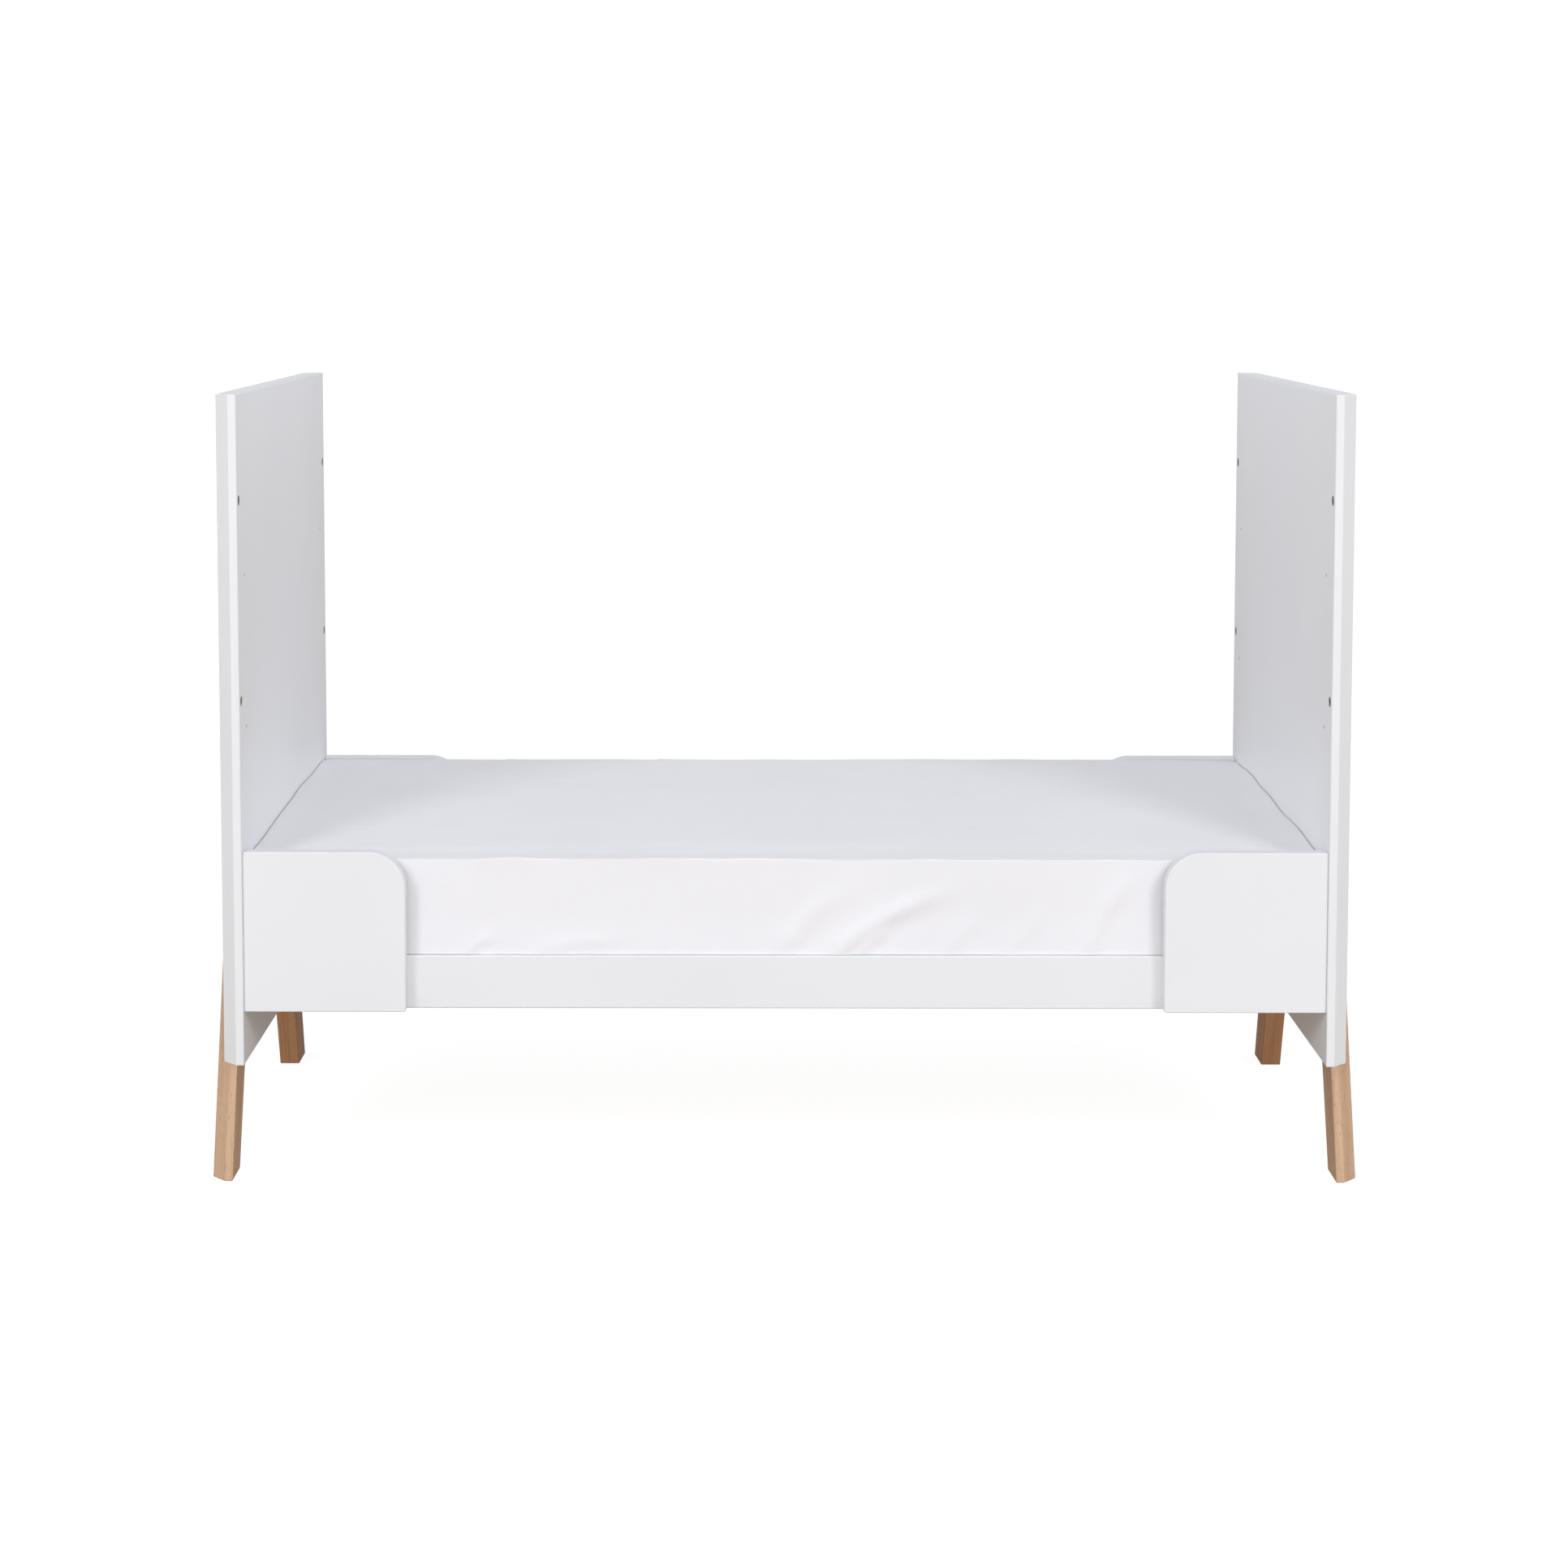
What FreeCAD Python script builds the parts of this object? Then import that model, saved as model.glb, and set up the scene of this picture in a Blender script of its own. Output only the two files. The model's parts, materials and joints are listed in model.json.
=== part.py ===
"""Toddler bed: a convertible cot bed without its barred sides.

Two tall lacquered end panels carry four splayed solid-wood legs on their outer faces. A slatted base
is bolted between the panels, four low guards close its corners, and a fitted mattress lies on it.
Millimetres. +Z is up, +X runs along the bed, -Y is the front. The origin is on the floor, at the centre.
"""
import FreeCAD, Part
import math
import os

Vector = FreeCAD.Vector
X_AXIS = Vector(1, 0, 0)
Y_AXIS = Vector(0, 1, 0)
Z_AXIS = Vector(0, 0, 1)

# Driving dimensions -------------------------------------------------------------------------------
# The mattress is the standard cot size, and everything else is set out from it.
MATTRESS_LENGTH = 1200.0
MATTRESS_WIDTH = 600.0
MATTRESS_HEIGHT = 120.0
END_PLAY = 5.0                 # mattress to end panel, at each end

PANEL_THICKNESS = 25.0
PANEL_WIDTH = 664.0
PANEL_BOTTOM = 150.0
PANEL_TOP = 902.0
OUTER_CHAMFER = 16.0           # 45 degree chamfer along the outer edges of panels and legs
PANEL_EASE = 1.5               # small rounding on every lacquered board edge

LEG_THICKNESS = 25.0
LEG_FOOT_OUTSIDE = 275.0       # centre plane to the outer edge of the foot
LEG_FOOT_WIDTH = 50.5
LEG_OUTSIDE_LEAN = 18.5        # degrees from vertical
LEG_INSIDE_LEAN = 20.8         # more than the outside, so the leg widens upwards
LEG_TOP = 380.0
LEG_EASE = 1.2

RAIL_HEIGHT = 60.0
RAIL_THICKNESS = 20.0
RAIL_BOTTOM = 210.5
RAIL_FRONT = 310.0             # centre plane to the rail's outer face
RAIL_END_GAP = 0.5
RAIL_EASE = 1.5

GUARD_SIZE = 181.0             # both ways
GUARD_THICKNESS = 18.0
GUARD_CORNER = 41.0            # radius of the corner that faces the child
GUARD_EASE = 2.5

SLAT_COUNT = 12
SLAT_WIDTH = 60.0
SLAT_THICKNESS = 12.0
SLAT_END_GAP = 1.0
SLAT_EASE = 2.0
LEDGE_SIZE = 20.0

CONNECTOR_HOLE = 6.0           # radius
CONNECTOR_DEPTH = 14.0
CONNECTOR_PITCH = 224.0
CONNECTOR_TOP = 784.0
BASE_HOLE = 2.5                # radius of the holes for the higher base positions
BASE_HOLE_DEPTH = 12.0
BASE_HOLE_FROM_CENTRE = 288.0
BASE_HOLE_HEIGHTS = (527.0, 698.0)

COVER_THICKNESS = 2.0
SHEET_THICKNESS = 1.0
MATTRESS_CORNER = 32.0         # vertical corners
MATTRESS_EDGE = 14.0           # edges round the top and the bottom
SHEET_TUCK = 90.0              # how far the sheet goes under the mattress
ELASTIC_WIDTH = 6.0
LAY_GAP = 0.3                  # between the sheet and what it lies on
SOFT_GAP = 0.1                 # between the layers of the mattress

# Fasteners: shank radius, head radius, head height, length under the head or of the whole screw
BOLT = {"shank": 3.0, "head": 6.0, "head_height": 3.5}
SLAT_SCREW = {"shank": 1.75, "head": 3.5, "head_height": 2.2, "length": 25.0}
LEDGE_SCREW = {"shank": 2.0, "head": 4.0, "head_height": 2.5, "length": 34.0}
RAIL_SCREW = {"shank": 2.5, "head": 4.8, "head_height": 3.0, "length": 55.0}
GUARD_SCREW = {"shank": 2.0, "head": 4.0, "head_height": 2.5, "length": 32.0}
HEX_SOCKET = 2.0               # half the width across flats
HEX_DEPTH = 2.4
INSERT_RADIUS = 5.0
INSERT_LENGTH = 15.0
BOLT_INTO_INSERT = 13.0
FIT_GAP = 0.05                 # round every fastener in its hole
CONNECTOR_PLUG = 13.0          # length of the wide end, which sits in the panel
CONNECTOR_SHANK = 4.0          # radius of the narrow end, which sits in the guard
CONNECTOR_SHANK_LENGTH = 26.0

# Worked out from the driving dimensions -----------------------------------------------------------
INNER_FACE = MATTRESS_LENGTH / 2 + END_PLAY
OUTER_FACE = INNER_FACE + PANEL_THICKNESS
LEG_FACE = OUTER_FACE + LEG_THICKNESS
RAIL_TOP = RAIL_BOTTOM + RAIL_HEIGHT
RAIL_MIDDLE = RAIL_BOTTOM + RAIL_HEIGHT / 2
RAIL_BACK = RAIL_FRONT - RAIL_THICKNESS
CROSS_FACE = INNER_FACE - RAIL_THICKNESS
GUARD_FRONT = RAIL_FRONT + GUARD_THICKNESS
GUARD_MIDDLE = RAIL_FRONT + GUARD_THICKNESS / 2
SLAT_BOTTOM = RAIL_TOP - SLAT_THICKNESS
LEDGE_MIDDLE = SLAT_BOTTOM - LEDGE_SIZE / 2
LEDGE_INSIDE = RAIL_BACK - LEDGE_SIZE
FREE_CONNECTORS = (CONNECTOR_TOP, CONNECTOR_TOP - CONNECTOR_PITCH)
GUARD_CONNECTORS = (CONNECTOR_TOP - 2 * CONNECTOR_PITCH, RAIL_MIDDLE)
LEG_BOLT_HEIGHTS = (190.0, 340.0)
BASE_BOLT_FROM_CENTRE = 200.0
GUARD_SCREW_INSETS = (60.0, 150.0)      # from the end panel
GUARD_SCREW_HEIGHT = RAIL_BOTTOM + 14.0
RAIL_SCREW_SPREAD = 15.0                # above and below the rail's middle
LEDGE_SCREWS = 5                        # on each ledge

SIDES = {"left": -1, "right": 1}
ENDS = {"front": -1, "rear": 1}


# Shapes -------------------------------------------------------------------------------------------
def rounded_wire(points, radii):
    """Closed flat wire through the points, with each corner rounded to its radius."""
    count = len(points)
    starts = []
    ends = []
    arcs = []
    for i in range(count):
        corner = points[i]
        before = (points[i - 1] - corner).normalize()
        after = (points[(i + 1) % count] - corner).normalize()
        half_angle = before.getAngle(after) / 2
        reach = radii[i] / math.tan(half_angle)
        middle = (before + after).normalize() * (radii[i] / math.sin(half_angle) - radii[i])
        starts.append(corner + before * reach)
        ends.append(corner + after * reach)
        arcs.append(corner + middle)
    edges = []
    for i in range(count):
        edges.append(Part.Arc(starts[i], arcs[i], ends[i]).toShape())
        edges.append(Part.LineSegment(ends[i], starts[(i + 1) % count]).toShape())
    return Part.Wire(edges)


def board(points, radii, sweep, ease):
    """Board with a rounded outline, swept straight, with both of its faces' edges eased."""
    solid = Part.Face(rounded_wire(points, radii)).extrude(sweep)
    along = Vector(sweep).normalize()
    levels = (points[0].dot(along), (points[0] + sweep).dot(along))
    rims = []
    for edge in solid.Edges:
        heights = [vertex.Point.dot(along) for vertex in edge.Vertexes]
        flat = max(heights) - min(heights) < 1e-6
        if flat and min(abs(heights[0] - level) for level in levels) < 1e-6:
            rims.append(edge)
    return solid.makeFillet(ease, rims)


def block(low, high, ease):
    """Rectangular bar between two corners, with all of its edges eased."""
    corner = Vector(*[min(a, b) for a, b in zip(low, high)])
    size = [abs(b - a) for a, b in zip(low, high)]
    bar = Part.makeBox(size[0], size[1], size[2], corner)
    return bar.makeFillet(ease, bar.Edges)


def turned(profile, place, axis):
    """Solid of revolution: profile points are (distance along the axis, radius)."""
    points = [Vector(radius, 0, along) for along, radius in profile]
    points.append(points[0])
    solid = Part.Face(Part.makePolygon(points)).revolve(Vector(0, 0, 0), Z_AXIS, 360)
    solid.Placement = FreeCAD.Placement(place, FreeCAD.Rotation(Z_AXIS, axis))
    return solid


def rod(radius, length, place, axis):
    """Plain cylinder from place, along axis."""
    return Part.makeCylinder(radius, length, place, axis)


def screw(kind, place, axis, gap=0.0):
    """Countersunk wood screw, its head flush at place; with a gap it is the hole that takes it."""
    head = kind["head"] + gap
    shank = kind["shank"] + gap
    length = kind["length"] + gap
    tip = length - 3 * shank
    profile = [(0, 0), (0, head), (kind["head_height"], shank), (tip, shank), (length, 0)]
    return turned(profile, place, axis)


def bolt(length, place, axis, sunk, gap=0.0):
    """Machine bolt with a hexagon socket; sunk bolts have a flush conical head."""
    shank = BOLT["shank"] + gap
    head = BOLT["head"] + gap
    height = BOLT["head_height"]
    if sunk:
        profile = [(0, 0), (0, head), (height, shank), (length + gap, shank), (length + gap, 0)]
        mouth = place
    else:
        profile = [(-height, 0), (-height, head), (0, head), (0, shank)]
        profile += [(length + gap, shank), (length + gap, 0)]
        mouth = place - Vector(axis) * height
    solid = turned(profile, place, axis)
    if gap:
        return solid
    return solid.cut(hexagon(mouth, axis))


def hexagon(mouth, axis):
    """Prism for the hexagon socket in a bolt's head."""
    corner = HEX_SOCKET / math.cos(math.radians(30))
    points = []
    for i in range(7):
        turn = math.radians(60 * i)
        points.append(Vector(corner * math.cos(turn), corner * math.sin(turn), 0))
    prism = Part.Face(Part.makePolygon(points)).extrude(Z_AXIS * HEX_DEPTH)
    prism.Placement = FreeCAD.Placement(mouth, FreeCAD.Rotation(Z_AXIS, axis))
    return prism


def insert(place, axis):
    """Threaded insert: a sleeve pressed into wood, with the bolt's bore through it."""
    sleeve = rod(INSERT_RADIUS, INSERT_LENGTH, place, axis)
    return sleeve.cut(rod(BOLT["shank"] + FIT_GAP, INSERT_LENGTH, place, axis))


def insert_hole(place, axis):
    """Blind hole for a threaded insert."""
    return rod(INSERT_RADIUS + FIT_GAP, INSERT_LENGTH + FIT_GAP, place, axis)


def cushion(length, width, bottom, top, corner, edge):
    """Upholstered block: rounded vertical corners and softer edges round its top and bottom."""
    low = Vector(-length / 2, -width / 2, bottom)
    body = Part.makeBox(length, width, top - bottom, low)
    upright = [e for e in body.Edges if abs(e.Vertexes[0].Z - e.Vertexes[1].Z) > 1]
    body = body.makeFillet(corner, upright)
    level = [e for e in body.Edges if abs(e.Vertexes[0].Z - e.Vertexes[1].Z) < 1e-6]
    return body.makeFillet(edge, level)


# Where the fasteners go ---------------------------------------------------------------------------
def leg_edge(height, inside):
    """Distance of a leg's edge from the centre plane, at a height."""
    if inside:
        start = LEG_FOOT_OUTSIDE - LEG_FOOT_WIDTH
        lean = LEG_INSIDE_LEAN
    else:
        start = LEG_FOOT_OUTSIDE
        lean = LEG_OUTSIDE_LEAN
    return start - height * math.tan(math.radians(lean))


def leg_bolt_places(side, end):
    """Bolt places on the panel's inner face, along the middle of one leg."""
    places = []
    for height in LEG_BOLT_HEIGHTS:
        middle = (leg_edge(height, False) + leg_edge(height, True)) / 2
        places.append(Vector(side * INNER_FACE, end * middle, height))
    return places


def base_bolt_places(side):
    """Bolt places on the cross rail's inner face."""
    return [Vector(side * CROSS_FACE, end * BASE_BOLT_FROM_CENTRE, RAIL_MIDDLE) for end in ENDS.values()]


def connector_places(side, end, heights):
    """Connector holes on the panel's inner face, in line with the middle of the guards."""
    return [Vector(side * INNER_FACE, end * GUARD_MIDDLE, height) for height in heights]


def rail_screw_places(side, end):
    """Screws through the long rail's outer face into the end of the cross rail."""
    x = side * (INNER_FACE - RAIL_THICKNESS / 2)
    heights = (RAIL_MIDDLE - RAIL_SCREW_SPREAD, RAIL_MIDDLE + RAIL_SCREW_SPREAD)
    return [Vector(x, end * RAIL_FRONT, height) for height in heights]


def guard_screw_places(side, end):
    """Screws through the long rail's inner face into the guard in front of it."""
    xs = [side * (INNER_FACE - inset) for inset in GUARD_SCREW_INSETS]
    return [Vector(x, end * RAIL_BACK, GUARD_SCREW_HEIGHT) for x in xs]


def slat_centres():
    """Centres of the slats along the bed, with equal gaps between them and at both ends."""
    gap = (2 * CROSS_FACE - SLAT_COUNT * SLAT_WIDTH) / (SLAT_COUNT + 1)
    pitch = SLAT_WIDTH + gap
    return [(i - (SLAT_COUNT - 1) / 2) * pitch for i in range(SLAT_COUNT)]


def slat_screw_places(x, end):
    """One screw down through the end of a slat into the middle of the ledge."""
    return Vector(x, end * (RAIL_BACK - LEDGE_SIZE / 2), RAIL_TOP)


def ledge_screw_places(end):
    """Screws through the ledge into the long rail, each half way between two slats."""
    centres = slat_centres()
    places = []
    for i in range(LEDGE_SCREWS):
        first = round(i * (SLAT_COUNT - 2) / (LEDGE_SCREWS - 1))
        x = (centres[first] + centres[first + 1]) / 2
        places.append(Vector(x, end * LEDGE_INSIDE, LEDGE_MIDDLE))
    return places


LEG_BOLT_LENGTH = PANEL_THICKNESS + BOLT_INTO_INSERT
BASE_BOLT_LENGTH = RAIL_THICKNESS + BOLT_INTO_INSERT


# Wooden parts -------------------------------------------------------------------------------------
def end_panel(side):
    """Tall end panel: chamfered outer uprights, connector holes and base holes in its inner face."""
    half = PANEL_WIDTH / 2
    inner = side * INNER_FACE
    outer = side * OUTER_FACE
    shoulder = side * (OUTER_FACE - OUTER_CHAMFER)
    outline = [(inner, -half), (shoulder, -half), (outer, OUTER_CHAMFER - half)]
    outline += [(outer, half - OUTER_CHAMFER), (shoulder, half), (inner, half)]
    points = [Vector(x, y, PANEL_BOTTOM) for x, y in outline]
    height = PANEL_TOP - PANEL_BOTTOM
    panel = board(points, [PANEL_EASE] * len(points), Z_AXIS * height, PANEL_EASE)

    outward = X_AXIS * side
    holes = []
    for end in ENDS.values():
        for place in connector_places(side, end, FREE_CONNECTORS + GUARD_CONNECTORS):
            holes.append(rod(CONNECTOR_HOLE, CONNECTOR_DEPTH, place, outward))
        for height in BASE_HOLE_HEIGHTS:
            place = Vector(inner, end * BASE_HOLE_FROM_CENTRE, height)
            holes.append(rod(BASE_HOLE, BASE_HOLE_DEPTH, place, outward))
        for place in leg_bolt_places(side, end):
            holes.append(bolt(LEG_BOLT_LENGTH, place, outward, True, FIT_GAP))
    for place in base_bolt_places(side):
        holes.append(insert_hole(Vector(inner, place.y, place.z), outward))
    return panel.cut(holes)


def leg(side, end):
    """Splayed, tapered leg on the panel's outer face, with the panel's chamfer on its outer edge."""
    near = side * OUTER_FACE
    far = side * LEG_FACE
    corners = []
    for height, inside in ((0, False), (LEG_TOP, False), (LEG_TOP, True), (0, True)):
        corners.append(Vector(near, end * leg_edge(height, inside), height))
    face = Part.Face(Part.makePolygon(corners + [corners[0]]))
    solid = face.extrude(X_AXIS * (side * LEG_THICKNESS))
    for edge in solid.Edges:
        middle = edge.CenterOfMass
        outside = leg_edge(middle.z, False)
        if abs(middle.x - far) < 1e-6 and abs(abs(middle.y) - outside) < 1e-6:
            outer_edge = edge
    solid = solid.makeChamfer(OUTER_CHAMFER, [outer_edge])
    solid = solid.makeFillet(LEG_EASE, solid.Edges)
    holes = []
    for place in leg_bolt_places(side, end):
        mouth = Vector(near, place.y, place.z)
        holes.append(insert_hole(mouth, X_AXIS * side))
    return solid.cut(holes)


def long_rail(end):
    """Front or rear rail of the slatted base."""
    reach = INNER_FACE - RAIL_END_GAP
    low = (-reach, end * RAIL_BACK, RAIL_BOTTOM)
    high = (reach, end * RAIL_FRONT, RAIL_TOP)
    rail = block(low, high, RAIL_EASE)
    holes = []
    for side in SIDES.values():
        for place in rail_screw_places(side, end):
            holes.append(screw(RAIL_SCREW, place, Y_AXIS * -end, FIT_GAP))
        for place in guard_screw_places(side, end):
            holes.append(screw(GUARD_SCREW, place, Y_AXIS * end, FIT_GAP))
    for place in ledge_screw_places(end):
        holes.append(screw(LEDGE_SCREW, place, Y_AXIS * end, FIT_GAP))
    return rail.cut(holes)


def cross_rail(side):
    """Rail across the end of the base, bolted flat against the end panel."""
    low = (side * CROSS_FACE, -RAIL_BACK, RAIL_BOTTOM)
    high = (side * INNER_FACE, RAIL_BACK, RAIL_TOP)
    rail = block(low, high, RAIL_EASE)
    holes = []
    for place in base_bolt_places(side):
        holes.append(bolt(BASE_BOLT_LENGTH, place, X_AXIS * side, False, FIT_GAP))
    for end in ENDS.values():
        for place in rail_screw_places(side, end):
            holes.append(screw(RAIL_SCREW, place, Y_AXIS * -end, FIT_GAP))
    return rail.cut(holes)


def slat_ledge(end):
    """Batten along the inside of a long rail, which the slats lie on."""
    reach = CROSS_FACE - SLAT_END_GAP
    low = (-reach, end * LEDGE_INSIDE, SLAT_BOTTOM - LEDGE_SIZE)
    high = (reach, end * RAIL_BACK, SLAT_BOTTOM)
    ledge = block(low, high, RAIL_EASE)
    holes = [screw(LEDGE_SCREW, place, Y_AXIS * end, FIT_GAP) for place in ledge_screw_places(end)]
    for x in slat_centres():
        holes.append(screw(SLAT_SCREW, slat_screw_places(x, end), -Z_AXIS, FIT_GAP))
    return ledge.cut(holes)


def slat(x):
    """Cross slat, its top level with the rails."""
    reach = RAIL_BACK - SLAT_END_GAP
    low = (x - SLAT_WIDTH / 2, -reach, SLAT_BOTTOM)
    high = (x + SLAT_WIDTH / 2, reach, RAIL_TOP)
    holes = [screw(SLAT_SCREW, slat_screw_places(x, end), -Z_AXIS, FIT_GAP) for end in ENDS.values()]
    return block(low, high, SLAT_EASE).cut(holes)


def guard(side, end):
    """Corner guard: a square board in front of the rail, with one large rounded corner."""
    outer = side * INNER_FACE
    inner = side * (INNER_FACE - GUARD_SIZE)
    face = end * GUARD_FRONT
    top = RAIL_BOTTOM + GUARD_SIZE
    points = [Vector(outer, face, RAIL_BOTTOM), Vector(inner, face, RAIL_BOTTOM)]
    points += [Vector(inner, face, top), Vector(outer, face, top)]
    radii = [PANEL_EASE, GUARD_EASE, GUARD_CORNER, PANEL_EASE]
    solid = board(points, radii, Y_AXIS * (-end * GUARD_THICKNESS), GUARD_EASE / 2)
    holes = [screw(GUARD_SCREW, p, Y_AXIS * end, FIT_GAP) for p in guard_screw_places(side, end)]
    for place in connector_places(side, end, GUARD_CONNECTORS):
        length = CONNECTOR_SHANK_LENGTH + FIT_GAP
        holes.append(rod(CONNECTOR_SHANK + FIT_GAP, length, place, X_AXIS * -side))
    return solid.cut(holes)


# Fasteners ----------------------------------------------------------------------------------------
def guard_connector(place, side):
    """Stepped pin: its wide plug sits in the panel, and its narrow end in the guard's edge."""
    profile = [(-CONNECTOR_PLUG, 0), (-CONNECTOR_PLUG, CONNECTOR_HOLE - FIT_GAP)]
    profile += [(0, CONNECTOR_HOLE - FIT_GAP), (0, CONNECTOR_SHANK)]
    profile += [(CONNECTOR_SHANK_LENGTH, CONNECTOR_SHANK), (CONNECTOR_SHANK_LENGTH, 0)]
    return turned(profile, place, X_AXIS * -side)


def fasteners():
    """All of the bolts, inserts, screws and pins, by the name of their group."""
    groups = {"leg_bolts": [], "leg_inserts": [], "base_bolts": [], "base_inserts": []}
    groups.update({"rail_screws": [], "guard_screws": [], "guard_connectors": []})
    groups.update({"slat_screws": [], "ledge_screws": []})
    for side in SIDES.values():
        outward = X_AXIS * side
        for place in base_bolt_places(side):
            groups["base_bolts"].append(bolt(BASE_BOLT_LENGTH, place, outward, False))
            mouth = Vector(side * INNER_FACE, place.y, place.z)
            groups["base_inserts"].append(insert(mouth, outward))
        for end in ENDS.values():
            for place in leg_bolt_places(side, end):
                groups["leg_bolts"].append(bolt(LEG_BOLT_LENGTH, place, outward, True))
                mouth = Vector(side * OUTER_FACE, place.y, place.z)
                groups["leg_inserts"].append(insert(mouth, outward))
            for place in rail_screw_places(side, end):
                groups["rail_screws"].append(screw(RAIL_SCREW, place, Y_AXIS * -end))
            for place in guard_screw_places(side, end):
                groups["guard_screws"].append(screw(GUARD_SCREW, place, Y_AXIS * end))
            for place in connector_places(side, end, GUARD_CONNECTORS):
                groups["guard_connectors"].append(guard_connector(place, side))
    for end in ENDS.values():
        for x in slat_centres():
            groups["slat_screws"].append(screw(SLAT_SCREW, slat_screw_places(x, end), -Z_AXIS))
        for place in ledge_screw_places(end):
            groups["ledge_screws"].append(screw(LEDGE_SCREW, place, Y_AXIS * end))
    return {name: Part.makeCompound(solids) for name, solids in groups.items()}


# Mattress -----------------------------------------------------------------------------------------
def mattress_layer(inset):
    """The mattress's outer shape, taken in by an inset; a negative inset lets it out."""
    bottom = RAIL_TOP + LAY_GAP + SHEET_THICKNESS + SOFT_GAP
    length = MATTRESS_LENGTH - 2 * inset
    width = MATTRESS_WIDTH - 2 * inset
    top = bottom + MATTRESS_HEIGHT - inset
    return cushion(length, width, bottom + inset, top, MATTRESS_CORNER - inset, MATTRESS_EDGE - inset)


def under_opening(inset):
    """Prism through the underside of the sheet, its sides set in from the mattress's sides."""
    x = MATTRESS_LENGTH / 2 - inset
    y = MATTRESS_WIDTH / 2 - inset
    corners = [(-x, -y), (x, -y), (x, y), (-x, y)]
    points = [Vector(a, b, RAIL_TOP) for a, b in corners]
    wire = rounded_wire(points, [MATTRESS_CORNER] * len(points))
    return Part.Face(wire).extrude(Z_AXIS * (MATTRESS_EDGE + SHEET_THICKNESS))


def mattress():
    """Foam core, its zipped cover, the fitted sheet round it and the elastic in the sheet's hem."""
    core = mattress_layer(COVER_THICKNESS + SOFT_GAP)
    cover = mattress_layer(0).cut(mattress_layer(COVER_THICKNESS))
    skin = mattress_layer(-SOFT_GAP - SHEET_THICKNESS).cut(mattress_layer(-SOFT_GAP))
    sheet = skin.cut(under_opening(SHEET_TUCK - ELASTIC_WIDTH))
    elastic = skin.common(under_opening(SHEET_TUCK - ELASTIC_WIDTH)).cut(under_opening(SHEET_TUCK))
    return {"mattress_core": core, "mattress_cover": cover, "fitted_sheet": sheet, "sheet_elastic": elastic}


def bed():
    """Every part of the bed, by name."""
    parts = {}
    for side_name, side in SIDES.items():
        parts[side_name + "_end_panel"] = end_panel(side)
        parts[side_name + "_cross_rail"] = cross_rail(side)
        for end_name, end in ENDS.items():
            parts[end_name + "_" + side_name + "_leg"] = leg(side, end)
            parts[end_name + "_" + side_name + "_guard"] = guard(side, end)
    for end_name, end in ENDS.items():
        parts[end_name + "_rail"] = long_rail(end)
        parts[end_name + "_slat_ledge"] = slat_ledge(end)
    for number, x in enumerate(slat_centres(), start=1):
        parts["slat_%02d" % number] = slat(x)
    parts.update(fasteners())
    parts.update(mattress())
    return parts


os.makedirs("parts", exist_ok=True)
for name, shape in bed().items():
    shape.exportStep("parts/" + name + ".step")
    print("%-20s valid %s  solids %d  volume %.0f" % (name, shape.isValid(), len(shape.Solids), shape.Volume))
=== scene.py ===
import json
import math

import bpy
import numpy as np
from mathutils import Euler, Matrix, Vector, noise


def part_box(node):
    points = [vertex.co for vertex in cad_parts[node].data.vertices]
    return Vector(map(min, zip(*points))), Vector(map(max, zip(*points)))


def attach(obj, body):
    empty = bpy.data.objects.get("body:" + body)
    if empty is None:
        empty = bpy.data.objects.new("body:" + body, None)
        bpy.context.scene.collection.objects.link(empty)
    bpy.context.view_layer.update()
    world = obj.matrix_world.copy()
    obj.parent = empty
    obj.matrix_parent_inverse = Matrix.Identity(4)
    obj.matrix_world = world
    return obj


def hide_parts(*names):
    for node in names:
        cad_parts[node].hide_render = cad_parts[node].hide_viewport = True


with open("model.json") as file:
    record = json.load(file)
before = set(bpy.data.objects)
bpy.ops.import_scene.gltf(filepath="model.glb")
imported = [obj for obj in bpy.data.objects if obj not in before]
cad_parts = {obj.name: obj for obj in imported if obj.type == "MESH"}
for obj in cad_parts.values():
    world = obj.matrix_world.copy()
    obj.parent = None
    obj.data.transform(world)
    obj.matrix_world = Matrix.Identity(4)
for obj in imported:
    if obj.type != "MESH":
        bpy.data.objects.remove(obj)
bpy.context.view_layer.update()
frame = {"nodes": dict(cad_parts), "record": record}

# A toddler bed: two lacquered end panels on splayed wooden legs, a slatted base with corner guards, and a
# mattress in a fitted sheet. Metres, +Z up, -Y the front, as in the CAD model.

# Camera ------------------------------------------------------------------------------------------
CAMERA_PLACE = (-0.0366, -3.5714, 1.0440)
CAMERA_PITCH = 4.439            # degrees below the horizon
CAMERA_TURN = 0.296             # degrees to the left
CAMERA_LENS = 67.72
CAMERA_SENSOR = 36.0
CAMERA_SHIFT = (0.03, -0.185)

# Studio ------------------------------------------------------------------------------------------
BACKDROP_STRENGTH = 1.05        # what the camera sees behind the bed
AMBIENT_COLOUR = (0.965, 0.99, 1.03)
AMBIENT_HIGH = 0.40             # light from straight above
AMBIENT_LOW = 0.92              # and from the horizon
FRONT_FILL = 0.92               # extra light from the horizon in front
REAR_FILL = 0.28                # and from the horizon behind
FILL_TOP = 0.6                  # where the extra light ends, as the sine of its height
SOFTBOX_TARGET = (0.0, 0.0, 0.45)
SOFTBOX_SIZE = 2.25
SOFTBOX_DISTANCE = 9.0
SOFTBOX_TURN = 31.0             # degrees to either side of the front
SOFTBOX_HEIGHT = 26.5           # degrees above the horizon
SOFTBOX_POWER = 174.0
FLOOR_SIZE = 30.0
FLOOR_LEVEL = -0.0005
FLOOR_GLOW = 0.92               # white that the camera sees
FLOOR_SHADE = 0.18              # and how much shadow shows on it
FLOOR_TINT = (0.33, 0.285, 0.245)
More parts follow.
